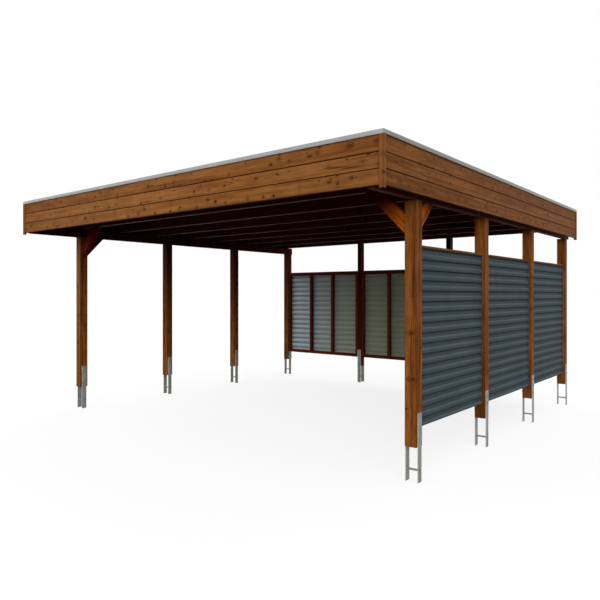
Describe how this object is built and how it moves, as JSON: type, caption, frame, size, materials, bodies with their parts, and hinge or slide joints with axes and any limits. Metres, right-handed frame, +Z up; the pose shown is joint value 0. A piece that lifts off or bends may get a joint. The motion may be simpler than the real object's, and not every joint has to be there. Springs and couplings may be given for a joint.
{
  "type": "double carport",
  "caption": "Free-standing flat-roofed timber carport on steel anchors, open at the front and left, with sheet-clad panels at the right and rear",
  "frame": {"origin": "under the middle of the roof, level with the feet of the anchors", "axes": "+X to the right as one drives in, +Y to the rear wall, +Z up"},
  "size_m": [6, 6, 3.09],
  "materials": {
    "post_timber": "brown stained softwood, satin",
    "roof_timber": "dark brown stained softwood",
    "fascia_boards": "brown stained boards, satin",
    "panel_timber": "brown stained softwood",
    "wall_sheet": "anthracite coated profiled steel, pale grey back",
    "roof_sheet": "grey coated profiled steel",
    "edge_trim": "matt light grey",
    "galvanised_steel": "hot-dip galvanised, dull"
  },
  "bodies": {
    "root": {"right_post_1": "post_timber", "right_post_2": "post_timber", "right_post_3": "post_timber", "right_post_4": "post_timber", "left_post_1": "post_timber", "left_post_2": "post_timber", "left_post_3": "post_timber", "left_post_4": "post_timber", "rear_post_left": "post_timber", "rear_post_right": "post_timber", "right_anchors": "galvanised_steel", "left_anchors": "galvanised_steel", "rear_anchors": "galvanised_steel", "right_beam": "roof_timber", "left_beam": "roof_timber", "rafter_1": "roof_timber", "rafter_2": "roof_timber", "rafter_3": "roof_timber", "rafter_4": "roof_timber", "rafter_5": "roof_timber", "rafter_6": "roof_timber", "rafter_7": "roof_timber", "rafter_8": "roof_timber", "rafter_9": "roof_timber", "right_braces": "post_timber", "left_braces": "post_timber", "front_fascia": "fascia_boards", "rear_fascia": "fascia_boards", "right_fascia": "fascia_boards", "left_fascia": "fascia_boards", "corner_strips": "fascia_boards", "edge_trim": "edge_trim", "roof_sheet": "roof_sheet", "side_frame_1": "panel_timber", "side_frame_2": "panel_timber", "side_frame_3": "panel_timber", "side_sheet_1": "wall_sheet", "side_sheet_2": "wall_sheet", "side_sheet_3": "wall_sheet", "rear_frame_1": "panel_timber", "rear_frame_2": "panel_timber", "rear_frame_3": "panel_timber", "rear_sheet_1": "wall_sheet", "rear_sheet_2": "wall_sheet", "rear_sheet_3": "wall_sheet"}
  },
  "joints": []
}
